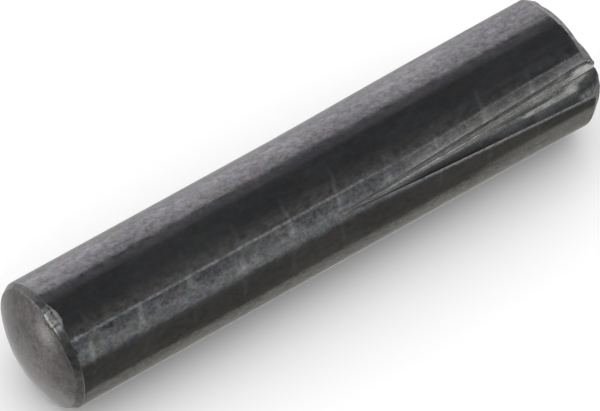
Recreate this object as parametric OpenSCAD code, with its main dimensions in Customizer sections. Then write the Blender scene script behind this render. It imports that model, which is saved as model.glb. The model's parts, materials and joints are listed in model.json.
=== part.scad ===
// Half-length taper grooved pin: a steel pin with one plain half, which drops into its hole,
// and one half with three pressed V grooves, whose raised lips bite into the hole's wall.
// Millimetres. The axis runs along X with the plain half towards -X, and the origin is on the
// axis at mid-length. One groove faces down, so the pin lies on the two lips beside it.

/* [Pin] */
// Diameter of the plain half
pin_d = 5; // [4:0.5:6]
// Length over both domed ends
pin_l = 24; // [18:1:40]

/* [Ends] */
// Length of each end, from the edge of the shank to the top of the dome
end_l = 0.84; // [0.82:0.02:1.2]
// Angle between the narrow ring at the shank's edge and the axis
ring_angle = 33; // [25:1:40]

/* [Grooves] */
// Depth of each groove below the shank's surface, where the far ring begins
groove_depth = 0.61; // [0.4:0.01:0.7]
// Angle between the two flanks of a groove
groove_angle = 88; // [70:1:100]
// Width of the flat root that the pressing edge leaves
root_w = 0.08; // [0.04:0.01:0.12]
// Distance from mid-length to where a groove begins
groove_start = 0.2; // [0.1:0.1:1]

/* [Raised lips] */
// Height of the lips above the shank's surface, where the far ring begins
lip_rise = 0.15; // [0.08:0.01:0.2]
// Distance from mid-length to where the lips begin
lip_start = 0.4; // [0.2:0.1:1]
// Angle about the axis from a groove's centre to where its swelling fades out
lip_fade = 38; // [32:1:48]
// Growth in radius of the metal between the grooves, from mid-length to the far ring
core_growth = 0.01; // [0.005:0.005:0.03]

/* [End swelling] */
// Radius of the ball shape that the metal beside a groove is pushed out to at the far end
ball_r = 3; // [2.8:0.1:4]
// Distance of that ball's centre from the axis
ball_offset = 1.6; // [1.2:0.1:1.8]
// Distance that the ball stops short of the dome's top
ball_short = 0.28; // [0.1:0.02:0.4]

/* [Hidden] */
$fn = 96;
GROOVES = 3;
FIRST_GROOVE = 60;              // angle about X of the first groove, measured from +Z
BURIED = 2;                     // how far tools and swellings run on past where they show

shank_r = pin_d / 2;
dome_r = pin_d;                 // the usual proportion: the dome's radius is the pin's diameter
ring_x = pin_l / 2 - end_l;     // where each ring begins

// The V groove: its root sinks in a straight line from groove_start to the far ring.
flank = groove_angle / 2;
root_r = shank_r - groove_depth;
root_slope = atan(groove_depth / (ring_x - groove_start));

// Angle about the axis from the groove's centre to its lip, where the flank meets the crest.
lip_r = shank_r + lip_rise;
lip_angle = flank + asin((root_w / 2 * cos(flank) - root_r * sin(flank)) / lip_r);

// The swelling under both lips of a groove is one round bar, off the axis. At the far ring it
// passes through the lip's crest and meets the shank's circle at lip_fade.
swell_offset = (pow(lip_r, 2) - pow(shank_r, 2))
    / (2 * (lip_r * cos(lip_angle) - shank_r * cos(lip_fade)));
swell_r = sqrt(pow(shank_r, 2) + pow(swell_offset, 2)
    - 2 * shank_r * swell_offset * cos(lip_fade));
swell_slope = atan((swell_offset + swell_r - shank_r) / (ring_x - lip_start));

// Everything on the pin's side of a ball-shaped end: the ball, and a block up to its centre.
module behind_ball(top_x, radius, offset = 0)
    translate([top_x - radius, 0, offset]) {
        sphere(radius);
        translate([-pin_l, 0, 0]) cube([2 * pin_l, 4 * radius, 4 * radius], center = true);
    }

// The bar as cut off, turned about X: plain shank, slightly grown core, a cone at each end.
module coned_bar() {
    end_r = shank_r - end_l * tan(ring_angle);
    rotate([0, 90, 0]) rotate_extrude() polygon([
        [0, -pin_l / 2],
        [end_r, -pin_l / 2],
        [shank_r, -ring_x],
        [shank_r, 0],
        [shank_r + core_growth, ring_x],
        [end_r, pin_l / 2],
        [0, pin_l / 2],
    ]);
}

// The bar with both ends domed, which leaves the cones showing as narrow rings.
module blank() intersection() {
    coned_bar();
    behind_ball(pin_l / 2, dome_r);
    mirror([1, 0, 0]) behind_ball(pin_l / 2, dome_r);
}

// The metal that one groove, pressed into the top, pushes up on both sides and out at the end.
// The bar is cut at the far end by a cone that carries the ring on over it, and by the ball.
module swelling() intersection() {
    translate([lip_start, 0, shank_r - swell_r])
        rotate([0, 90 - swell_slope, 0])
            translate([0, 0, -BURIED]) cylinder(r = swell_r, h = pin_l / 2 + BURIED);
    translate([0, 0, swell_offset]) rotate([0, 90, 0])
        cylinder(r1 = swell_r + ring_x * tan(ring_angle),
                 r2 = swell_r - end_l * tan(ring_angle), h = pin_l / 2);
    behind_ball(pin_l / 2 - ball_short, ball_r, ball_offset);
}

// The tool's shape for one groove in the top: a V bar with a flat root, sinking towards +X.
module groove_cutter() {
    height = 2 * groove_depth + 1;
    top_w = root_w / 2 + height * tan(flank);
    translate([groove_start, 0, shank_r]) rotate([0, root_slope, 0])
        translate([-BURIED, 0, 0]) rotate([90, 0, 90])
            linear_extrude(pin_l / 2 + BURIED)
                polygon([[-root_w / 2, 0], [root_w / 2, 0], [top_w, height], [-top_w, height]]);
}

// Repeats what is made for the top at each groove's place around the pin.
module at_each_groove()
    for (i = [0 : GROOVES - 1])
        rotate([FIRST_GROOVE + 360 / GROOVES * i, 0, 0]) children();

module grooved_pin() color("dimgray") difference() {
    union() {
        blank();
        at_each_groove() swelling();
    }
    at_each_groove() groove_cutter();
}

grooved_pin();
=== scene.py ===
"""The looks of a half-length taper grooved pin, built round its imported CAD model.

One fine mesh stands for the CAD node. It repeats the part's own construction (domed bar,
swellings, pressed V grooves) with rounded edges, and wears four procedural steel finishes: the
drawn shank, the pressed groove flanks, the narrow cone rings and the cut, domed end faces.
"""

import json
import math

import bpy
import numpy as np
from mathutils import Matrix, Vector


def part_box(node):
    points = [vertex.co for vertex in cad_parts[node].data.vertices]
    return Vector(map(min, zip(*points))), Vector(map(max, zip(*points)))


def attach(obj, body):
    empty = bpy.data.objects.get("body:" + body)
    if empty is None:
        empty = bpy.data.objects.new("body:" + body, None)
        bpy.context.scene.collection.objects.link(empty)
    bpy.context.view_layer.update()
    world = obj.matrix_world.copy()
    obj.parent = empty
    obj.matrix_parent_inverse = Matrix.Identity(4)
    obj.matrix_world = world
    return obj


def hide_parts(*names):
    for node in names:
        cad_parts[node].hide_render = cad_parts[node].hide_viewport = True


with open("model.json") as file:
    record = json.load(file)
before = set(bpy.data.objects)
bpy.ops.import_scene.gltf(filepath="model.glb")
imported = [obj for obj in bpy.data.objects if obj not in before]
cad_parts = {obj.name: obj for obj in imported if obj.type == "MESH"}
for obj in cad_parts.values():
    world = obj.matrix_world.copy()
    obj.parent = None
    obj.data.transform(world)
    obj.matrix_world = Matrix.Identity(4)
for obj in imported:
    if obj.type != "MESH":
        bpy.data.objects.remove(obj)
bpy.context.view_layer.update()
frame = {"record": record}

MM = 0.001
NODE = "grooved_pin"

# Sizes in millimetres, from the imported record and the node's box, which is in metres.
MOUNTS = {mount["name"]: mount["dims"] for mount in frame["record"]["mounts"]}
SHANK_R = MOUNTS["shank"]["r_mm"]
RING_X = MOUNTS["shank"]["length_mm"]          # where each cone ring begins, from mid-length
LIP_R = MOUNTS["grooved_half"]["r_mm"]
LOW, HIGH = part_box(NODE)
HALF_L = HIGH.x / MM
FLOOR_Z = LOW.z

# The part's construction, as its source has it. Every length without a unit is in millimetres.
DOME_R = 2 * SHANK_R
RING_SLOPE = math.tan(math.radians(33))        # how fast a cone ring narrows towards its end
SECTOR = 120                                   # degrees from one groove to the next
FIRST_GROOVE = 60                              # degrees about X, measured from +Z towards -Y
GROOVE_DEPTH = 0.61
GROOVE_START = 0.2
FLANK_ANGLE = math.radians(44)
ROOT_HALF_W = 0.04
LIP_START = 0.4
LIP_FADE = math.radians(38)
BALL_R = 3
BALL_OFFSET = 1.6
BALL_SHORT = 0.28

# A small ball, centred this far along and off the axis, that swells the mouth of each groove.
MOUTH_X, MOUTH_OFFSET, MOUTH_R = 11.04, 1.86, 0.8

# How softly faces meet: the depth over which one gives way to the next. A crest's rounding grows
# along the groove, from a least share of it to all of it at CREST_FULL_X.
RING_ROUNDING = 0.035
CREST_ROUNDING = 0.03
CREST_LEAST_SHARE = 0.02
CREST_FULL_X = 3
SWELL_BLEND = 0.03
MOUTH_BLEND = 0.1

# Blows to the near ring, by degrees about X. Some pushed its edge along the shank: how far, and
# over what half width. Others left small pits: place along, half width and depth.
BRUISES = ((20.5, 0.075, 0.28), (24.0, 0.04, 0.08), (16.0, 0.035, 0.07), (10.0, 0.015, 0.12),
           (39.0, 0.015, 0.12), (52.0, 0.015, 0.2))
PITS = ((19.7, -11.27, 0.05, 0.022), (17.0, -11.2, 0.04, 0.015), (24.5, -11.34, 0.05, 0.015))
LEAST_PUSH = 1e-4              # where the edge was pushed less than this, it is left alone

# The skin's zones, by material index, and those of a bar's side, ring and dome in that order.
ZONES = {"shank": 0, "flank": 1, "ring": 2, "end_face": 3}
OUTSIDE_ZONES = np.array([ZONES["shank"], ZONES["ring"], ZONES["end_face"]])

# Maps of the skin: millimetres along the pin, and around it before the grooves were pressed; and
# the place across the nearest groove, as places_across() has it.
ROLLED_OUT = "rolled_out"
ACROSS_GROOVE = "across_groove"


# ---------------------------------------------------------------- the pin's shape

def smooth_min(a, b, width):
    """The smaller of two distances, rounded where they are closer together than width."""
    gap = np.clip(1 - np.abs(a - b) / width, 0, 1)
    return np.minimum(a, b) - gap ** 2 * width / 4


def smooth_max(a, b, width):
    """The larger of two distances, rounded likewise."""
    return -smooth_min(-a, -b, width)


def smooth_step(value):
    """A smooth step from 0 to 1 as value goes from 0 to 1."""
    t = np.clip(value, 0, 1)
    return t * t * (3 - 2 * t)


class Rays:
    """Rays from points on the axis, in one groove's own frame: X along the pin, Z to its centre."""

    FAR = 1000.0       # stands for the distance to a face that a ray never reaches
    LEAST = 1e-9       # keeps divisions safe

    def __init__(self, start_x, lean, off_centre):
        """lean is a ray's angle from +X, and off_centre its angle about X from the groove."""
        self.start_x = start_x
        self.direction = (np.cos(lean), np.sin(lean) * np.sin(off_centre),
                          np.sin(lean) * np.cos(off_centre))
        self.outward = np.sin(lean)

    def to_plane(self, point, normal):
        """Distance at which a ray crosses a plane from its inner side."""
        start = (self.start_x - point[0], -point[1], -point[2])
        depth = -sum(s * n for s, n in zip(start, normal))
        speed = sum(d * n for d, n in zip(self.direction, normal))
        crossing = np.maximum(depth, 0) / np.maximum(speed, self.LEAST)
        return np.where(speed > self.LEAST, crossing, self.FAR)

    def out_of_round(self, centre, radius, axis=(0, 0, 0)):
        """Distance at which a ray leaves a ball, or a cylinder along axis; 0 where it misses."""
        start = (self.start_x - centre[0], -centre[1], -centre[2])
        along_start = sum(s * a for s, a in zip(start, axis))
        along_ray = sum(d * a for d, a in zip(self.direction, axis))
        p = [s - along_start * a for s, a in zip(start, axis)]
        d = [d - along_ray * a for d, a in zip(self.direction, axis)]
        a = sum(v * v for v in d)
        half_b = sum(u * v for u, v in zip(p, d))
        c = sum(v * v for v in p) - radius ** 2
        root = half_b ** 2 - a * c
        leave = (np.sqrt(np.maximum(root, 0)) - half_b) / np.maximum(a, self.LEAST)
        return np.where(root > 0, np.maximum(leave, 0), 0)

    def to_cone(self, end, height, radius, slope):
        """Distance to a cone round a line along X at a height.

        It has the radius where the ring begins, and narrows by slope towards the end.
        """
        narrowing = end * slope
        wide = radius - (end * self.start_x - RING_X) * slope
        dx, dy, dz = self.direction
        a = dy ** 2 + dz ** 2 - (dx * slope) ** 2
        half_b = wide * dx * narrowing - dz * height
        c = height ** 2 - wide ** 2
        root = np.sqrt(np.maximum(half_b ** 2 - a * c, 0))
        reach = half_b + root
        return np.where(reach > self.LEAST, -c / np.maximum(reach, self.LEAST), self.FAR)

    def past_ball(self, end, centre_x, radius, offset=0):
        """Distance out of a ball-shaped end. All that is behind the ball's centre is inside."""
        ball = self.out_of_round((end * centre_x, 0, offset), radius)
        to_centre = centre_x - end * self.start_x
        speed = end * self.direction[0]
        behind = np.where(speed > self.LEAST, to_centre / np.maximum(speed, self.LEAST), self.FAR)
        return np.where(to_centre > 0, np.maximum(ball, behind), ball)


def blank_faces(rays):
    """Distances to the bar's side, its cone ring and its dome, at whichever end is nearer."""
    end = np.where(rays.start_x > 0, 1, -1)
    side = SHANK_R / np.maximum(rays.outward, rays.LEAST)
    ring = rays.to_cone(end, 0, SHANK_R, RING_SLOPE)
    dome = rays.past_ball(end, HALF_L - DOME_R, DOME_R)
    return side, ring, dome


# The round bar, off the axis, that swells both lips of a groove, worked out as in the source.
ROOT_R = SHANK_R - GROOVE_DEPTH
LIP_ANGLE = FLANK_ANGLE + math.asin(
    (ROOT_HALF_W * math.cos(FLANK_ANGLE) - ROOT_R * math.sin(FLANK_ANGLE)) / LIP_R)
SWELL_OFFSET = (LIP_R ** 2 - SHANK_R ** 2) / (
    2 * (LIP_R * math.cos(LIP_ANGLE) - SHANK_R * math.cos(LIP_FADE)))
SWELL_R = math.sqrt(
    SHANK_R ** 2 + SWELL_OFFSET ** 2 - 2 * SHANK_R * SWELL_OFFSET * math.cos(LIP_FADE))
SWELL_SLOPE = math.atan((SWELL_OFFSET + SWELL_R - SHANK_R) / (RING_X - LIP_START))


def swelling_faces(rays):
    """The same for the metal pushed up beside a groove: a tilted bar, cut by a cone and a ball."""
    bar = rays.out_of_round((LIP_START, 0, SHANK_R - SWELL_R), SWELL_R,
                            (math.cos(SWELL_SLOPE), 0, math.sin(SWELL_SLOPE)))
    begun = rays.start_x + rays.direction[0] * bar > LIP_START
    ring = rays.to_cone(1, SWELL_OFFSET, SWELL_R, RING_SLOPE)
    ball = rays.past_ball(1, HALF_L - BALL_SHORT - BALL_R, BALL_R, BALL_OFFSET)
    return np.where(begun, bar, 0), ring, ball


def groove_distance(rays):
    """Where a ray comes out into the pressed V, whose root sinks towards +X."""
    slope = math.atan(GROOVE_DEPTH / (RING_X - GROOVE_START))
    rise, run = math.sin(FLANK_ANGLE), math.cos(FLANK_ANGLE)
    root_normal = (math.sin(slope), 0, math.cos(slope))
    distance = rays.to_plane((GROOVE_START, 0, SHANK_R), root_normal)
    for side in (-1, 1):
        normal = (root_normal[0] * rise, -side * run, root_normal[2] * rise)
        flank = rays.to_plane((GROOVE_START, side * ROOT_HALF_W, SHANK_R), normal)
        distance = np.maximum(distance, flank)
    return distance


def outside_distance(rays):
    """Where a ray would leave the pin with its grooves filled and a small ball at each mouth."""
    blank, swelling = (
        smooth_min(smooth_min(side, ring, RING_ROUNDING), dome, RING_ROUNDING)
        for side, ring, dome in (blank_faces(rays), swelling_faces(rays)))
    mouth = rays.out_of_round((MOUTH_X, 0, MOUTH_OFFSET), MOUTH_R)
    return smooth_max(smooth_max(blank, swelling, SWELL_BLEND), mouth, MOUTH_BLEND)


def skin_distance(rays):
    """How far along each ray the pin's surface lies."""
    rounding = CREST_ROUNDING * np.clip(rays.start_x / CREST_FULL_X, CREST_LEAST_SHARE, 1)
    return smooth_min(outside_distance(rays), groove_distance(rays), rounding)


def knocked(along, distance, angle):
    """The same distances with the near ring's bruises and pits taken off."""
    def arc_from(degrees):
        return (angle - math.radians(degrees)) * SHANK_R

    pushed = sum(size * np.exp(-(arc_from(degrees) / half_width) ** 2)
                 for degrees, size, half_width in BRUISES)
    slope = SHANK_R + (along + RING_X - pushed) * RING_SLOPE
    near_ring = (along < 0) & (pushed > LEAST_PUSH)
    distance = np.where(near_ring, np.minimum(distance, slope), distance)
    for degrees, pit_x, half_width, depth in PITS:
        off = (along - pit_x) ** 2 + arc_from(degrees) ** 2
        distance = distance - depth * np.exp(-off / half_width ** 2)
    return distance


def zones_hit(rays):
    """Which zone of the pin's skin each ray comes out through."""
    blank, swelling = (np.broadcast_arrays(*faces)
                       for faces in (blank_faces(rays), swelling_faces(rays)))
    swollen = np.min(swelling, axis=0) > np.min(blank, axis=0)
    face = np.where(swollen, np.argmin(swelling, axis=0), np.argmin(blank, axis=0))
    in_groove = groove_distance(rays) < outside_distance(rays)
    return np.where(in_groove, ZONES["flank"], OUTSIDE_ZONES[face])


HALVINGS = 30                  # steps of the search for a crest


def find_crests(start_x, lean):
    """Angle from a groove's centre to its lip for each row of rays; 0 where there is no groove."""
    low, high = np.zeros_like(start_x), np.full_like(start_x, LIP_FADE)
    for _ in range(HALVINGS):
        middle = (low + high) / 2
        rays = Rays(start_x, lean, middle)
        in_groove = groove_distance(rays) < outside_distance(rays)
        low, high = np.where(in_groove, middle, low), np.where(in_groove, high, middle)
    return low


# ---------------------------------------------------------------- the grid of the mesh

DOME_ROWS = 34
EDGE_ROWS = 44
PLAIN_ROWS = 104
GROOVED_ROWS = 230
DOME_FAN_R = 2.25              # rays fan out over the dome within this radius
FLANK_COLUMNS = 13
CREST_COLUMNS = np.array([-0.05, -0.032, -0.018, -0.007, 0.007, 0.018, 0.032, 0.05])   # off it
OUTER_COLUMNS = 12
HALF_COLUMNS = FLANK_COLUMNS + len(CREST_COLUMNS) + OUTER_COLUMNS - 1
HALF_SECTOR = math.radians(SECTOR / 2)
LEAST_CREST = math.radians(1.2)
FULL_ROOM_CREST = math.radians(4)      # the crest's columns draw together in a narrower groove
GATHER_OVER = 2.2              # the columns gather to the groove over this much before it
PART_FROM, PART_OVER = 0.45, 0.36      # and part again on the dome, by a ray's share of square
PUSHED_SHARE = 0.54            # how far a groove pushed the metal, as a share of its half width
PUSH_START, PUSH_OVER = 2, 6.5         # where along the pin that begins, and over what it grows


def dome_x(radius):
    """Place along the axis, at the far end, of the dome's circle of a radius."""
    return HALF_L - DOME_R + np.sqrt(DOME_R ** 2 - radius ** 2)


def rows_of_rays():
    """Each row's start on the axis and lean from +X, from the near dome's top to the far one's.

    Rays stand square to the axis, except over the middle of a dome, where they fan out.
    """
    fan_r = DOME_FAN_R * np.linspace(0, 1, DOME_ROWS + 1)[1:]
    fan_lean = math.pi / 2 * fan_r / DOME_FAN_R
    fan_start = dome_x(fan_r) - fan_r / np.tan(fan_lean)
    edge_start = np.linspace(dome_x(DOME_FAN_R), RING_X, EDGE_ROWS, endpoint=False)[1:]
    end_start = np.concatenate([fan_start, edge_start])
    end_lean = np.concatenate([fan_lean, np.full(len(edge_start), math.pi / 2)])
    shank = np.concatenate([np.linspace(-RING_X, 0, PLAIN_ROWS, endpoint=False),
                            np.linspace(0, RING_X, GROOVED_ROWS)])
    start = np.concatenate([-end_start, shank, end_start[::-1]])
    lean = np.concatenate([math.pi - end_lean, np.full(len(shank), math.pi / 2), end_lean[::-1]])
    return start, lean


def half_sector_columns(start_x, lean, crest):
    """Angles from a groove's centre to half way to the next: a grid of rows by HALF_COLUMNS + 1."""
    crest = np.maximum(crest, LEAST_CREST)[:, None]
    room = np.minimum(1, crest / FULL_ROOM_CREST)
    near_crest = crest + CREST_COLUMNS / SHANK_R * room
    flank = near_crest[:, :1] * np.linspace(0, 1, FLANK_COLUMNS, endpoint=False)
    t = np.linspace(0, 1, OUTER_COLUMNS + 1)[1:]
    outer = near_crest[:, -1:] + (HALF_SECTOR - near_crest[:, -1:]) * (t + t ** 2) / 2
    followed = np.concatenate([flank, near_crest, outer], axis=1)
    even = HALF_SECTOR * np.linspace(0, 1, HALF_COLUMNS + 1)
    # The columns are even before the groove begins, and where it has run out on the dome.
    before = smooth_step((start_x + GATHER_OVER) / GATHER_OVER)
    run_out = smooth_step((lean / (math.pi / 2) - PART_FROM) / PART_OVER)
    follow = np.minimum(before, run_out)[:, None]
    return even + (followed - even) * follow


def around(half_columns):
    """Angles about X of a row's columns from -180 to 180 degrees, and each one's groove centre."""
    mirrored = half_columns[:, ::-1]
    angles, centres = [-math.pi + half_columns], [np.full_like(half_columns, -math.pi)]
    for degrees in (FIRST_GROOVE - SECTOR, FIRST_GROOVE):
        centre = math.radians(degrees)
        angles += [centre - mirrored[:, 1:], centre + half_columns[:, 1:]]
        centres += [np.full_like(half_columns[:, 1:], centre)] * 2
    angles.append(math.pi - mirrored[:, 1:])
    centres.append(np.full_like(half_columns[:, 1:], math.pi))
    return np.concatenate(angles, axis=1), np.concatenate(centres, axis=1)


def angle_before_pressing(start_x, off_centre, crest):
    """Where the metal at an angle from a groove's centre lay before the groove pushed it aside."""
    crest = crest[:, None]
    pushed = PUSHED_SHARE * crest * smooth_step((start_x - PUSH_START) / PUSH_OVER)[:, None]
    size = np.abs(off_centre)
    outside = size - pushed * np.clip((HALF_SECTOR - size) / (HALF_SECTOR - crest), 0, 1) ** 2
    flank = size * (crest - pushed) / np.maximum(crest, Rays.LEAST)
    return np.sign(off_centre) * np.where(size < crest, flank, outside)


def places_across(off_centre, crest):
    """Share of the way from a groove's root to its crests, -1 to 1; and the arc past a crest."""
    crest = crest[:, None]
    share = np.clip(off_centre / np.maximum(crest, Rays.LEAST), -1, 1)
    past = np.maximum(np.abs(off_centre) - crest, 0) * SHANK_R
    return share, past


def build_pin():
    """The pin: its skin as a mesh, with the four zones as material indices, and its two maps."""
    start_x, lean = rows_of_rays()
    crest = find_crests(start_x, lean)
    angle, centre = around(half_sector_columns(start_x, lean, crest))
    off_centre = angle - centre
    distance = skin_distance(Rays(start_x[:, None], lean[:, None], off_centre))
    distance = knocked(start_x[:, None] + distance * np.cos(lean)[:, None], distance, angle)
    along = start_x[:, None] + distance * np.cos(lean)[:, None]
    radius = distance * np.sin(lean)[:, None]
    rows, columns = angle.shape[0], angle.shape[1] - 1

    points = np.stack([along, -radius * np.sin(angle), radius * np.cos(angle)], axis=2)
    poles = np.array([[-HALF_L, 0, 0], [HALF_L, 0, 0]])
    vertices = np.concatenate([points[:, :columns].reshape(-1, 3), poles]) * MM

    def corners(grid):
        """Each face's four corners from a grid of values, counter-clockwise from outside."""
        return np.stack([grid[:-1, :-1], grid[:-1, 1:], grid[1:, 1:], grid[1:, :-1]], axis=2)

    index = np.arange(rows * columns).reshape(rows, columns)
    index = np.concatenate([index, index[:, :1]], axis=1)
    near_pole, far_pole = rows * columns, rows * columns + 1
    caps = [(near_pole, b, a) for a, b in zip(index[0, :-1].tolist(), index[0, 1:].tolist())]
    caps += [(far_pole, a, b) for a, b in zip(index[-1, :-1].tolist(), index[-1, 1:].tolist())]

    aside = np.abs(off_centre)
    middle = Rays((start_x[:-1, None] + start_x[1:, None]) / 2,
                  (lean[:-1, None] + lean[1:, None]) / 2,
                  (aside[:-1, :-1] + aside[1:, 1:]) / 2)
    zones = zones_hit(middle).ravel().tolist() + [ZONES["end_face"]] * len(caps)

    before = centre + angle_before_pressing(start_x, off_centre, crest)
    maps = {ROLLED_OUT: np.stack([along, before * SHANK_R], axis=2),
            ACROSS_GROOVE: np.stack(places_across(off_centre, crest), axis=2)}

    mesh = bpy.data.meshes.new("steel_pin")
    mesh.from_pydata(vertices.tolist(), [], corners(index).reshape(-1, 4).tolist() + caps)
    mesh.polygons.foreach_set("use_smooth", [True] * len(zones))
    mesh.polygons.foreach_set("material_index", zones)
    for name, places in maps.items():
        on_caps = np.repeat(np.concatenate([places[0, :-1], places[-1, :-1]]), 3, axis=0)
        spread = np.concatenate([corners(places).reshape(-1, 2), on_caps])
        layer = mesh.uv_layers.new(name=name)
        layer.data.foreach_set("uv", spread.astype(np.float32).ravel())
    mesh.update()
    pin = bpy.data.objects.new("steel_pin", mesh)
    bpy.context.collection.objects.link(pin)
    return pin


# ---------------------------------------------------------------- materials

class Graph:
    """Short calls for writing a node tree. Each adds one node and returns its main output."""

    def __init__(self, tree):
        self.tree = tree
        tree.nodes.clear()

    def add(self, kind, inputs=(), output=0, **settings):
        node = self.tree.nodes.new(kind)
        for name, value in settings.items():
            setattr(node, name, value)
        for key, value in dict(inputs).items():
            if isinstance(value, bpy.types.NodeSocket):
                self.tree.links.new(value, node.inputs[key])
            else:
                node.inputs[key].default_value = value
        return node.outputs[output]

    def math(self, operation, a, b=0.0, c=0.0):
        return self.add("ShaderNodeMath", {0: a, 1: b, 2: c}, operation=operation)

    def step(self, value, low, high, out_low=0.0, out_high=1.0):
        """A smooth step of value, from out_low at low to out_high at high."""
        return self.add("ShaderNodeMapRange", {
            "Value": value, "From Min": low, "From Max": high,
            "To Min": out_low, "To Max": out_high}, interpolation_type="SMOOTHSTEP")

    def ramp(self, value, stops):
        """A colour ramp with stops of (place, colour), where a colour may be one grey number."""
        socket = self.add("ShaderNodeValToRGB", {0: value})
        ramp = socket.node.color_ramp
        while len(ramp.elements) < len(stops):
            ramp.elements.new(0.5)
        for element, (place, colour) in zip(ramp.elements, stops):
            element.position = place
            element.color = (*colour, 1) if isinstance(colour, tuple) else (colour,) * 3 + (1,)
        return socket

    def place(self, x, y, z=0.0):
        return self.add("ShaderNodeCombineXYZ", {0: x, 1: y, 2: z})

    def grey(self, value):
        """A colour, or a vector, with the same value three times."""
        return self.place(value, value, value)

    def parts(self, vector):
        return self.add("ShaderNodeSeparateXYZ", {0: vector}).node.outputs

    def vector(self, operation, a, b=(0, 0, 0), output="Vector"):
        return self.add("ShaderNodeVectorMath", {0: a, 1: b}, output, operation=operation)

    def here(self, kind):
        """The place on the object, or the direction in the world, as Texture Coordinate has it."""
        return self.add("ShaderNodeTexCoord", output=kind)

    def map_place(self, name):
        """The two coordinates of one of the skin's maps."""
        return self.parts(self.add("ShaderNodeUVMap", uv_map=name))[:2]

    def noise(self, place, scale, detail=2.0, roughness=0.5):
        return self.add("ShaderNodeTexNoise", {
            "Vector": place, "Scale": scale, "Detail": detail, "Roughness": roughness})

    def swing(self, noise, low=0.35, high=0.65):
        """Noise spread out to run from -1 at low to 1 at high."""
        return self.step(noise, low, high, -1.0, 1.0)

    def times(self, *values):
        result = values[0]
        for value in values[1:]:
            result = self.math("MULTIPLY", result, value)
        return result

    def plus(self, *values):
        result = values[0]
        for value in values[1:]:
            result = self.math("ADD", result, value)
        return result

    def line(self, value, middle, half_width, softness):
        """1 where value is within half_width of middle, fading to 0 over softness."""
        off = self.math("ABSOLUTE", self.math("SUBTRACT", value, middle))
        return self.step(off, half_width, half_width + softness, 1.0, 0.0)

    def between(self, value, low, high, softness):
        """1 between low and high, fading to 0 over softness outside each."""
        return self.times(self.step(value, low - softness, low),
                          self.step(value, high, high + softness, 1.0, 0.0))

    def mix(self, amount, a, b):
        """A mix of two colours. Sockets 6, 7 and 2 are the Mix node's own for colour."""
        return self.add("ShaderNodeMix", {0: amount, 6: a, 7: b}, output=2, data_type="RGBA")

    def shaded(self, colour, shade, tint):
        """A colour times one number, never above 1, and times a fixed tint."""
        scaled = self.vector("MULTIPLY", colour, self.grey(shade))
        return self.vector("MULTIPLY", self.vector("MINIMUM", scaled, (1, 1, 1)), tint)

    def tinted(self, value, tint):
        """A colour from one brightness value and a fixed tint."""
        return self.add("ShaderNodeCombineColor", {
            channel: self.times(value, share) for channel, share in enumerate(tint)})

    def drift(self, colour, place, scale, amount):
        """A colour whose red and blue wander apart from its green, each by its own noise."""
        red, blue = (
            self.math("MULTIPLY_ADD", self.swing(self.noise(moved, scale, 3.0, 0.65)), amount, 1.0)
            for moved in (self.vector("ADD", place, (shift,) * 3) for shift in (0.37, 0.81)))
        return self.vector("MULTIPLY", colour, self.place(red, 1.0, blue))

    def close(self, kind, surface):
        """Adds the output node, kind, and links the surface to it."""
        self.tree.links.new(surface, self.tree.nodes.new(kind).inputs[0])


def new_steel(name):
    """A new material and its empty graph."""
    material = bpy.data.materials.new(name)
    material.use_nodes = True
    return material, Graph(material.node_tree)


def finish_steel(graph, colour, roughness, height, depth, metallic=1.0):
    """Closes a steel's graph: metal of a colour and roughness, with a bump of depth metres."""
    bump = graph.add("ShaderNodeBump", {"Strength": 1.0, "Distance": depth, "Height": height})
    shader = graph.add("ShaderNodeBsdfPrincipled", {
        "Base Color": colour, "Metallic": metallic, "Roughness": roughness, "Normal": bump})
    graph.close("ShaderNodeOutputMaterial", shader)


def around_mm(degrees):
    """The rolled-out map's place, in millimetres, of an angle about X."""
    return math.radians(degrees) * SHANK_R


# How bright each steel is before its marks, as a share of what a perfect mirror sends back, and
# how deep its finest bumps are, in metres.
DRAWN_LEVEL, RING_LEVEL, DOME_LEVEL = 0.2, 0.2, 0.205
DRAWN_BUMP, PRESSED_BUMP, RING_BUMP, DOME_BUMP = 0.35e-6, 0.4e-6, 0.5e-6, 1.6e-6

# Marks on the drawn skin, by their angle about X before pressing. All but one were left by its
# handling: a long scratch, a scuffed strip below it with a brighter lower part, two calmer
# stretches, a row of dashes, and faint slanting rings, called ticks. Above the scratch the skin
# is lighter, in patches.
SCRATCH_AT = around_mm(43.2)
SCRATCH_START_X = -10.93
STRIP_TOP, STRIP_LOWER, STRIP_FOOT = around_mm(43.6), around_mm(54), around_mm(66.5)
LIGHTER_ABOVE = (around_mm(31), around_mm(43))
WIPED = (around_mm(6), around_mm(30))
CALM = (around_mm(70), around_mm(90))
DASHES_AT = around_mm(-26.5)
TICKS = (around_mm(28), around_mm(80))
TICK_SPACING = 2.145
TICK_PHASE = 7.78
TICK_LEAN = 0.18               # how far a tick moves along the pin for each millimetre around it


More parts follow.
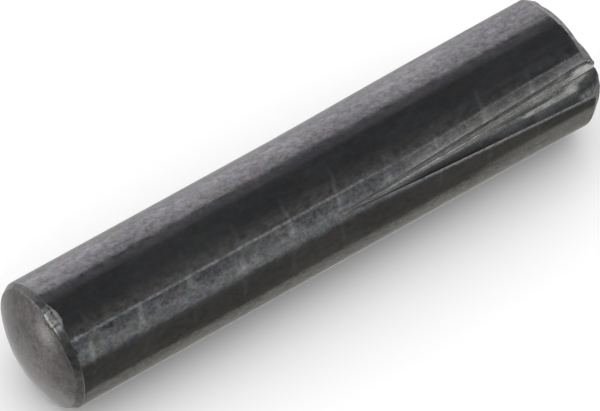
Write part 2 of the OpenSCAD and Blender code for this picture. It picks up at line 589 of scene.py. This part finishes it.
def drawn_steel():
    """Dark drawn steel with its grain, mottle and handling marks, and some painted highlights."""
    material, graph = new_steel("drawn_steel")
    along, arc = graph.map_place(ROLLED_OUT)
    side, past_crest = graph.map_place(ACROSS_GROOVE)

    def stretched(squeeze, shift=0.0):
        return graph.place(graph.times(along, squeeze), arc, shift)

    grain = graph.swing(graph.noise(stretched(0.05), 16.0, 3.0, 0.6))
    fine = graph.swing(graph.noise(stretched(0.9, 3.0), 9.5, 3.0, 0.7))
    mottle = graph.swing(graph.noise(stretched(0.75, 5.0), 3.6, 3.0, 0.65))
    broad = graph.swing(graph.noise(stretched(0.35, 7.0), 0.9, 2.0, 0.5))
    streaks = graph.swing(graph.noise(stretched(0.12, 11.0), 9.0, 4.0, 0.65))
    patches = graph.swing(graph.noise(stretched(0.75, 13.0), 2.6, 4.0, 0.65))
    flecks = graph.noise(stretched(0.5, 17.0), 13.0, 2.0, 0.5)
    wiped = graph.between(arc, *WIPED, 0.4)
    calm = graph.between(arc, *CALM, 0.2)
    dulled = graph.plus(1.0, graph.times(wiped, -0.65), graph.times(calm, -0.55))
    uneven = graph.times(graph.plus(graph.times(fine, 0.17), graph.times(mottle, 0.2)), dulled)
    # Lighter in patches above the scratch, more so towards the grooved half.
    lighter_above = graph.times(
        graph.between(arc, *LIGHTER_ABOVE, 0.12),
        graph.math("MULTIPLY_ADD", patches, 0.5, graph.step(along, -7.0, -3.0, 0.2, 0.7)))

    # The scuffed strip, frayed at its edges and brighter in its lower part. Over the grooved half,
    # and more so towards the far end, a painted reflection makes it brighter still.
    frayed = graph.plus(arc, graph.times(streaks, 0.035), graph.times(patches, 0.045))
    strip = graph.times(graph.step(arc, STRIP_TOP - 0.03, STRIP_TOP + 0.02),
                        graph.step(frayed, STRIP_FOOT - 0.06, STRIP_FOOT + 0.1, 1.0, 0.0))
    # Painted reflection: how much the strip is brightened along the grooved half.
    painted_lift = graph.step(along, 1.5, 4.5)
    lower_part = graph.step(frayed, STRIP_LOWER - 0.07, STRIP_LOWER + 0.07)
    depth = graph.math(
        "MAXIMUM", graph.step(lower_part, 0.0, 1.0, -0.06, 0.14),
        graph.plus(graph.times(painted_lift, 0.62), graph.step(along, 9.0, 10.6, 0.0, 0.9)))
    scuffed = graph.plus(graph.times(streaks, 0.07), graph.times(patches, 0.12),
                         graph.times(fine, 0.05), graph.times(graph.step(flecks, 0.56, 0.72), 0.25))
    scuffed = graph.times(scuffed, graph.math("MULTIPLY_ADD", painted_lift, 1.0, 1.0))
    scuff = graph.times(strip, graph.plus(depth, scuffed))

    # One long scratch along its top, gouged where it starts and broken into dots, and shorter
    # dashes further up.
    dots = graph.step(graph.noise(stretched(1.0, 23.0), 4.6, 4.0, 0.75), 0.36, 0.72, 0.22, 1.0)
    pressure = graph.times(graph.step(along, -10.9, -9.0, 1.0, 0.75),
                           graph.plus(graph.step(along, 0.6, 2.4, 1.0, 0.4),
                                      graph.step(along, 5.2, 7.0, 0.0, 0.45)))
    off_scratch = graph.math("ABSOLUTE", graph.math(
        "SUBTRACT", graph.plus(arc, graph.times(patches, 0.012)), SCRATCH_AT))
    near_scratch = graph.step(off_scratch, 0.022, 0.075, 1.0, 0.0)
    from_start = graph.place(graph.plus(along, -SCRATCH_START_X, graph.times(patches, 0.03)),
                             graph.plus(arc, -SCRATCH_AT, graph.times(fine, 0.02)))
    gouge = graph.step(graph.vector("LENGTH", from_start, output="Value"), 0.02, 0.14, 0.8, 0.0)
    scratch = graph.math("MAXIMUM", graph.times(near_scratch, dots, pressure), gouge)
    dashes = graph.times(
        graph.line(graph.plus(arc, graph.times(patches, 0.03)), DASHES_AT, 0.04, 0.1),
        graph.step(graph.noise(graph.place(along, 5.0), 0.8, 2.0, 0.6), 0.48, 0.62))

    # Faint slanting rings at even distances, which smudge where they cross the strip.
    lean = graph.math("MULTIPLY_ADD", arc, TICK_LEAN, TICK_PHASE)
    wobble = graph.times(graph.noise(graph.place(along, arc, 31.0), 1.2, 2.0, 0.5), 0.3)
    turn = graph.math("DIVIDE", graph.plus(along, lean, wobble), TICK_SPACING)
    off_turn = graph.math("SUBTRACT", turn, graph.math("ROUND", turn))
    off_tick = graph.times(graph.math("ABSOLUTE", off_turn), TICK_SPACING)
    on_side = graph.between(arc, *TICKS, 0.45)
    patchy = graph.step(graph.noise(stretched(1.0, 41.0), 1.5, 3.0, 0.6), 0.4, 0.56)
    early = graph.times(graph.step(arc, STRIP_TOP - 0.1, STRIP_TOP + 0.1, 0.6, 0.0),
                        graph.step(along, -4.5, -2.5, 1.0, 0.0))
    tick = graph.times(graph.step(off_tick, 0.02, 0.13, 1.0, 0.0), on_side, patchy,
                       graph.step(arc, STRIP_FOOT - 0.1, STRIP_FOOT + 0.2, 1.0, 0.6),
                       graph.math("SUBTRACT", 1.0, early))
    smudge = graph.times(graph.step(off_tick, 0.02, 0.3, 1.0, 0.0), strip, patchy)

    # Lips are bright beside their crests, partly from wear and partly a painted highlight, more so
    # on the side away from the scratch.
    lip_side = graph.step(side, -0.5, 0.5)
    serrated = graph.plus(past_crest, graph.times(fine, 0.018))
    lip_edge = graph.step(along, 3.0, 6.0, 0.05, 0.01)
    lip_width = graph.step(along, 2.0, 5.0, 0.22, 0.14)
    lip_wear_and_glint = graph.times(graph.step(serrated, 0.06, lip_width, 1.0, 0.0),
                      graph.step(past_crest, 0.0, lip_edge),
                      graph.step(along, 0.3, 5.0, 0.0, 1.1),
                      graph.math("MULTIPLY_ADD", lip_side, 0.32, 0.1),
                      graph.step(flecks, 0.3, 0.6, 0.6, 1.25))

    share = graph.plus(1.0, uneven, graph.times(grain, 0.05), graph.times(broad, 0.1),
                       graph.times(lighter_above, 0.2), scuff, graph.times(smudge, 0.34))
    # The marks, and the lips' painted highlight, add to the colour.
    marks_and_glint = graph.plus(lip_wear_and_glint, graph.times(scratch, 0.5), graph.times(tick, 0.085),
                      graph.times(dashes, 0.055))
    value = graph.math("MULTIPLY_ADD", share, DRAWN_LEVEL, marks_and_glint)
    cool = graph.plus(graph.times(strip, graph.math("MULTIPLY_ADD", painted_lift, -0.6, 1.0)),
                      graph.times(patches, 0.4))
    colour = graph.mix(graph.step(cool, 0.2, 1.0), graph.tinted(value, (1.0, 1.0, 0.99)),
                       graph.tinted(value, (0.98, 1.0, 1.045)))
    colour = graph.drift(colour, stretched(1.0, 47.0), 1.9, 0.045)
    roughness = graph.plus(0.12, graph.times(mottle, 0.015), graph.times(strip, 0.06),
                           graph.times(scratch, 0.12))
    height = graph.plus(graph.times(grain, 0.4), graph.times(fine, 0.4), graph.times(scratch, 1.0))
    finish_steel(graph, colour, roughness, height, DRAWN_BUMP)
    return material


# How bright a flank's steel is by its place across the groove, from the crest of its first flank
# at -1 to the crest of its second at 1: where the groove begins, and then at stations along it.
# Each station says where it begins to show and where it is all that shows. These bright and dark
# bands are partly the steel's finish and partly painted reflections and highlights.
FLANK_START = (
    (-1.0, 0.5), (-0.55, 0.42), (-0.5, 0.22), (0.5, 0.24), (0.55, 0.62), (0.8, 0.6), (0.9, 0.3),
    (1.0, 0.15))
FLANK_STATIONS = (
    (0.9, 2.0, (
        (-1.0, 0.48), (-0.7, 0.4), (-0.5, 0.38), (-0.3, 0.26), (0.0, 0.14), (0.1, 0.28),
        (0.25, 0.7), (0.4, 0.97), (0.58, 0.97), (0.75, 0.85), (0.85, 0.3), (1.0, 0.08))),
    (2.0, 4.0, (
        (-1.0, 0.27), (-0.7, 0.22), (-0.5, 0.22), (-0.3, 0.42), (-0.08, 0.48), (-0.05, 0.21),
        (0.05, 0.21), (0.08, 0.66), (0.2, 0.95), (0.36, 0.97), (0.46, 0.64), (0.56, 0.38),
        (0.7, 0.27), (0.85, 0.18), (1.0, 0.06))),
    (5.9, 7.8, (
        (-1.0, 0.56), (-0.85, 0.6), (-0.7, 0.8), (-0.5, 0.8), (-0.3, 0.7), (-0.08, 0.74),
        (-0.05, 0.4), (0.05, 0.4), (0.08, 0.78), (0.2, 0.58), (0.26, 0.33), (0.34, 0.35),
        (0.42, 0.68), (0.54, 0.76), (0.64, 0.48), (0.75, 0.42), (0.88, 0.26), (1.0, 0.3))),
    (8.2, 9.2, (
        (-1.0, 0.48), (-0.85, 0.58), (-0.7, 0.82), (-0.5, 0.93), (-0.3, 0.66), (-0.08, 0.72),
        (-0.05, 0.4), (0.05, 0.4), (0.08, 0.95), (0.16, 0.9), (0.24, 0.38), (0.32, 0.36),
        (0.42, 0.95), (0.58, 0.97), (0.66, 0.6), (0.75, 0.5), (0.88, 0.32), (1.0, 0.3))),
    (9.6, 10.3, (
        (-1.0, 0.42), (-0.85, 0.5), (-0.7, 0.82), (-0.5, 0.97), (-0.3, 0.7), (-0.08, 0.7),
        (-0.05, 0.4), (0.05, 0.4), (0.08, 0.72), (0.14, 0.5), (0.22, 0.45), (0.32, 0.62),
        (0.42, 0.85), (0.56, 0.86), (0.62, 0.72), (0.7, 0.42), (0.78, 0.37), (0.88, 0.26),
        (1.0, 0.3))),
)
# The last part is bright: fresh metal and a painted highlight. On the first flank it begins sooner
# and brightens more slowly, and on the second its edge bows ahead, by this much at the crest.
BRIGHT_END_FROM, BRIGHT_END_FULL = 10.66, 10.98
BRIGHT_END_SOONER, BRIGHT_END_BOW = 0.4, 0.25
TIP_DARKENS = (11.35, 11.5)            # where along the pin painted shade darkens the first flank's tip
BRIGHT_END_STOPS = (
    (-1.0, 0.62), (-0.93, 0.9), (-0.8, 0.95), (-0.6, 0.92), (-0.2, 0.92), (-0.08, 0.92),
    (-0.05, 0.92), (0.05, 0.8), (0.1, 0.4), (0.2, 0.5), (0.3, 0.6), (0.42, 0.45), (0.6, 0.36),
    (0.72, 0.25), (0.84, 0.5), (0.92, 0.97), (1.0, 0.6))


def pressed_steel():
    """Bare steel on a groove's flanks, banded by its finish and by painted reflections."""
    material, graph = new_steel("pressed_steel")
    along, arc = graph.map_place(ROLLED_OUT)
    across = graph.map_place(ACROSS_GROOVE)[0]

    def stretched(squeeze, shift=0.0):
        return graph.place(graph.times(along, squeeze), graph.times(across, 1.2), shift)

    def levels(stops):
        return graph.ramp(place, [(0.5 + share / 2, level) for share, level in stops])

    streaks = graph.swing(graph.noise(stretched(0.2), 4.0, 3.0, 0.5))
    patches = graph.swing(graph.noise(stretched(0.9, 5.0), 2.6, 4.0, 0.7))
    fine = graph.swing(graph.noise(graph.place(along, arc, 9.0), 14.0, 3.0, 0.6))
    wavering = graph.plus(across, graph.times(streaks, 0.02), graph.times(patches, 0.03))
    place = graph.math("MULTIPLY_ADD", wavering, 0.5, 0.5)
    reach = graph.plus(along, graph.times(patches, 0.35))
    # Painted reflections and highlights: the flanks' bands of brightness, changing along the
    # groove.
    value = levels(FLANK_START)
    for begins, full, stops in FLANK_STATIONS:
        value = graph.mix(graph.step(reach, begins, full), value, levels(stops))
    # Painted highlight, with fresh metal: the groove's last part is brightened.
    bow = graph.times(graph.math("MAXIMUM", across, 0.0), across, BRIGHT_END_BOW)
    sooner = graph.step(across, -0.12, 0.12, BRIGHT_END_SOONER, 0.0)
    bright_end = graph.step(
        graph.plus(along, bow), graph.math("SUBTRACT", BRIGHT_END_FROM, sooner), BRIGHT_END_FULL)
    value = graph.mix(bright_end, value, levels(BRIGHT_END_STOPS))

    # Painted shade over the first flank's tip, at the groove's mouth.
    painted_tip_shade = graph.times(graph.step(along, *TIP_DARKENS), graph.step(across, -0.4, -0.6))
    shade = graph.plus(1.0, graph.times(streaks, 0.06), graph.times(patches, 0.18),
                       graph.times(fine, 0.1), graph.times(painted_tip_shade, -0.6))
    colour = graph.shaded(value, shade, (1.0, 1.0, 0.975))

    # The torn patch of the first flank and two patches of the second are dull: they scatter part
    # of the light.
    torn = graph.times(graph.step(along, 10.5, 11.05), graph.between(across, -0.55, -0.2, 0.25),
                       graph.math("MULTIPLY_ADD", patches, 0.15, 0.85))
    first_dull = graph.times(graph.between(across, 0.14, 0.36, 0.1), graph.step(reach, 1.6, 2.6),
                             graph.step(reach, 5.6, 7.2, 1.0, 0.0))
    second_dull = graph.times(graph.between(across, 0.44, 0.58, 0.07), graph.step(reach, 8.2, 8.9),
                              graph.math("SUBTRACT", 1.0, bright_end))
    dull = graph.plus(graph.times(torn, 0.5), graph.times(first_dull, 0.13),
                      graph.times(second_dull, 0.18))
    roughness = graph.plus(0.17, graph.times(patches, 0.03), graph.times(torn, 0.3))
    finish_steel(graph, colour, roughness, graph.plus(patches, fine), PRESSED_BUMP,
                 metallic=graph.math("SUBTRACT", 1.0, dull))
    return material


# The stretch of the near ring that was bruised, and the stretch of its inner edge where the
# painted highlight along that edge is brightest.
BRUISED = (around_mm(10), around_mm(31))
GLINT_STRETCH = (around_mm(-4), around_mm(36))


def ring_steel():
    """The cone rings: dark machined steel with painted edge highlights, bruised in one stretch."""
    material, graph = new_steel("ring_steel")
    place = graph.here("Object")
    along, arc = graph.map_place(ROLLED_OUT)
    from_shank = graph.math("SUBTRACT", graph.math("ABSOLUTE", along), RING_X)
    grain = graph.swing(graph.noise(place, 5200.0, 4.0, 0.65))
    broad = graph.swing(graph.noise(place, 1300.0, 2.0, 0.5))
    wavering = graph.plus(from_shank, graph.times(grain, 0.01), graph.times(broad, 0.015))
    bruised = graph.between(arc, *BRUISED, 0.1)
    sunk = graph.times(bruised, graph.step(wavering, 0.0, 0.14, 1.0, 0.0))
    # Painted highlights: a light line along the shank-side edge, missing where bruised, and one
    # along the dome-side edge, faint all round and brightest over one stretch.
    shank_edge_glint = graph.times(graph.step(wavering, 0.01, 0.06, 0.7, 0.0),
                             graph.math("SUBTRACT", 1.0, bruised))
    glint_stretch = graph.between(arc, *GLINT_STRETCH, 0.2)
    dome_edge_glint = graph.times(graph.step(wavering, 0.2, 0.26),
                            graph.math("MULTIPLY_ADD", glint_stretch, 1.0, 0.1))
    share = graph.plus(1.0, graph.times(grain, graph.math("MULTIPLY_ADD", bruised, 0.15, 0.2)),
                       graph.times(broad, 0.16), shank_edge_glint, dome_edge_glint, graph.times(sunk, -0.6))
    colour = graph.drift(graph.grey(graph.times(share, RING_LEVEL)), place, 1500.0, 0.03)
    roughness = graph.math("MULTIPLY_ADD", grain, 0.03, 0.14)
    finish_steel(graph, colour, roughness, grain, RING_BUMP)
    return material


def end_steel():
    """The domes: cut and blasted steel, mottled, with small pits and pale specks."""
    material, graph = new_steel("end_steel")
    place = graph.here("Object")
    blotches = graph.swing(graph.noise(place, 1100.0, 4.0, 0.6))
    mottle = graph.swing(graph.noise(place, 4200.0, 4.0, 0.7))
    fine = graph.swing(graph.noise(place, 12000.0, 2.0, 0.6))
    pits = graph.step(graph.noise(place, 2600.0, 2.0, 0.5), 0.27, 0.35, 1.0, 0.0)
    specks = graph.step(graph.noise(place, 6500.0, 2.0, 0.5), 0.64, 0.74)
    share = graph.plus(1.0, graph.times(blotches, 0.13), graph.times(mottle, 0.13),
                       graph.times(fine, 0.1), graph.times(specks, 0.4), graph.times(pits, -0.4))
    colour = graph.drift(graph.tinted(graph.times(share, DOME_LEVEL), (1.075, 1.0, 0.98)),
                         place, 1300.0, 0.035)
    roughness = graph.plus(0.2, graph.times(mottle, 0.04), graph.times(blotches, 0.03))
    height = graph.plus(graph.times(blotches, 0.6), graph.times(mottle, 0.4),
                        graph.times(pits, -1.5))
    finish_steel(graph, colour, roughness, height, DOME_BUMP)
    return material


# ---------------------------------------------------------------- studio

CAMERA_AIM = (-0.136, -0.045, 0.0)             # mm
CAMERA_AZIMUTH = -35.466                       # degrees about Z; 0 looks along +Y
CAMERA_ELEVATION = 48.579                      # degrees
CAMERA_ROLL = -0.814                           # degrees
CAMERA_DISTANCE = 263.67                       # mm
CAMERA_LENS, CAMERA_SENSOR = 445.17, 36        # mm
CAMERA_CLIP = (0.01, 20)                       # m

# Brightness of the studio that the steel mirrors, by degrees about X from straight up, positive
# towards +Y (the back): once beside the pin, and once on the side of its near end, towards -X.
# The side stops carry a tint: cool above, warm where light comes back off the bench.
PLAIN, LILAC, VIOLET = (1, 1, 1), (1.04, 1.0, 1.08), (1.02, 1.0, 1.11)
STEEL_BLUE, WARM = (0.97, 1.0, 1.06), (1.02, 1.0, 0.945)
SIDE_STOPS = (
    (-180, 0.42, WARM), (-165, 0.46, WARM), (-155, 0.41, WARM), (-151, 0.195, WARM),
    (-120, 0.18, WARM), (-104, 0.185, PLAIN), (-97, 0.25, PLAIN), (-94, 0.46, PLAIN),
    (-84, 0.50, PLAIN), (-60, 0.37, PLAIN), (-46, 0.28, PLAIN), (-36, 0.20, PLAIN),
    (-28, 0.155, PLAIN), (-14, 0.128, STEEL_BLUE), (18, 0.125, STEEL_BLUE),
    (21.5, 0.135, STEEL_BLUE), (25, 0.215, VIOLET), (42.5, 0.275, VIOLET), (45.5, 0.70, LILAC),
    (50, 0.77, LILAC), (68, 0.95, LILAC), (84, 1.07, LILAC), (96, 0.92, LILAC),
    (112, 0.66, PLAIN), (126, 0.54, PLAIN), (136, 0.62, PLAIN), (144, 0.75, PLAIN),
    (150, 0.66, PLAIN), (156, 0.5, WARM), (160, 0.46, WARM), (170, 0.34, WARM), (180, 0.42, WARM))
NEAR_STOPS = (
    (-154, 0.42), (-119, 0.35), (-104, 0.17), (-81, 0.13), (-59, 0.15), (-42, 0.20), (-32, 0.26),
    (-24, 0.45), (-15, 0.95), (-2, 1.08), (9, 0.92), (19, 0.45), (27, 0.20), (38, 0.24),
    (47, 0.30), (56, 0.47), (64, 0.53), (72, 0.56), (80, 0.70), (88, 0.78), (95, 0.64),
    (103, 0.56), (108, 0.48), (114, 0.53), (121, 0.53), (128, 0.57), (136, 0.60), (152, 0.60),
    (160, 0.54), (168, 0.48), (178, 0.40))
# The side stops give way to the near ones as a direction's X goes from the first to the second
# value of TO_NEAR. Close to the axis, as the size of X passes over TO_POLE, both give way to one
# brightness: POLE_FAR towards +X, and towards -X one below level and one above.
TO_NEAR = (0.12, -0.2)
TO_POLE = (0.93, 0.998)
POLE_LEVEL_Z = (-0.05, 0.06)
POLE_FAR, POLE_NEAR_LOW, POLE_NEAR_HIGH = 0.66, 0.32, 0.15
# Two soft patches of light that the near dome mirrors: direction, strength and size.
GLOWS = (((-0.89, 0.34, -0.30), 1.15, 0.2), ((-0.33, 0.27, -0.90), 0.24, 0.5))
PAPER = 1.0                                    # what the camera sees beyond the floor
SKY = 1.18                                     # the even light on the floor
FLOOR_SIZE = 6                                 # m
FLOOR_COLOUR = (0.89, 0.89, 0.89, 1)
LAMP_HEIGHT = LAMP_SIZE = 0.8                  # m
LAMP_POWER = 0.6                               # W


def turned(degrees, axis):
    """A rotation about one axis."""
    return Matrix.Rotation(math.radians(degrees), 4, axis)


def add_camera():
    """The camera, at the photo's viewing angle."""
    camera = bpy.data.objects.new("camera", bpy.data.cameras.new("camera"))
    bpy.context.collection.objects.link(camera)
    rotation = (turned(CAMERA_AZIMUTH, "Z") @ turned(90 - CAMERA_ELEVATION, "X")
                @ turned(CAMERA_ROLL, "Z"))
    position = Vector(CAMERA_AIM) + rotation @ Vector((0, 0, CAMERA_DISTANCE))
    camera.matrix_world = Matrix.Translation(position * MM) @ rotation
    camera.data.lens = CAMERA_LENS
    camera.data.sensor_width = CAMERA_SENSOR
    camera.data.clip_start, camera.data.clip_end = CAMERA_CLIP
    bpy.context.scene.camera = camera


def add_floor():
    """A plain pale floor, which the steel doesn't mirror."""
    bpy.ops.mesh.primitive_plane_add(size=FLOOR_SIZE, location=(0, 0, FLOOR_Z))
    floor = bpy.context.object
    floor.name = "floor"
    floor.visible_glossy = False
    material = bpy.data.materials.new("pale_floor")
    material.use_nodes = True
    shader = material.node_tree.nodes["Principled BSDF"]
    shader.inputs["Base Color"].default_value = FLOOR_COLOUR
    shader.inputs["Roughness"].default_value = 0.9
    shader.inputs["Specular IOR Level"].default_value = 0.1
    floor.data.materials.append(material)


def add_world():
    """A plain bright room, with the soft boxes and dark gaps that only the steel mirrors."""
    world = bpy.data.worlds.new("studio")
    bpy.context.scene.world = world
    world.use_nodes = True
    graph = Graph(world.node_tree)
    direction = graph.here("Generated")
    x, y, z = graph.parts(direction)
    turn = graph.math("MULTIPLY_ADD", graph.math("ARCTAN2", y, z), 0.5 / math.pi, 0.5)
    sides = graph.ramp(turn, [(0.5 + angle / 360, tuple(value * share for share in tint))
                              for angle, value, tint in SIDE_STOPS])
    near = graph.ramp(turn, [(0.5 + angle / 360, value) for angle, value in NEAR_STOPS])
    towards_near = graph.step(x, *TO_NEAR)
    around_pin = graph.mix(towards_near, sides, near)
    pole = graph.step(graph.math("ABSOLUTE", x), *TO_POLE)
    near_less_far = graph.step(
        z, *POLE_LEVEL_Z, POLE_NEAR_LOW - POLE_FAR, POLE_NEAR_HIGH - POLE_FAR)
    pole_level = graph.math("MULTIPLY_ADD", towards_near, near_less_far, POLE_FAR)
    glow = graph.plus(*(
        graph.step(graph.vector("DISTANCE", direction, towards, "Value"), 0.0, size, strength, 0.0)
        for towards, strength, size in GLOWS))
    mirrored = graph.vector("ADD", graph.mix(pole, around_pin, graph.grey(pole_level)),
                            graph.grey(glow))
    light_path = graph.add("ShaderNodeLightPath").node.outputs
    steel, even, plain = (graph.add("ShaderNodeBackground", {"Color": colour, "Strength": 1.0})
                          for colour in (mirrored, (SKY,) * 3 + (1,), (PAPER,) * 3 + (1,)))
    lit = graph.add("ShaderNodeMixShader", {0: light_path["Is Glossy Ray"], 1: even, 2: steel})
    seen = graph.add("ShaderNodeMixShader", {0: light_path["Is Camera Ray"], 1: lit, 2: plain})
    graph.close("ShaderNodeOutputWorld", seen)


def add_lamp():
    """A round soft light straight overhead, which neither the camera nor the steel sees."""
    light = bpy.data.lights.new("overhead", "AREA")
    light.shape = "DISK"
    light.size = LAMP_SIZE
    light.energy = LAMP_POWER
    lamp = bpy.data.objects.new("overhead", light)
    bpy.context.collection.objects.link(lamp)
    lamp.location.z = LAMP_HEIGHT
    lamp.visible_glossy = False
    lamp.visible_camera = False


# ---------------------------------------------------------------- the scene

bpy.context.scene.view_settings.view_transform = "Standard"
pin = build_pin()
for steel in (drawn_steel(), pressed_steel(), ring_steel(), end_steel()):
    pin.data.materials.append(steel)
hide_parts(NODE)
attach(pin, "root")

add_camera()
add_floor()
add_world()
add_lamp()
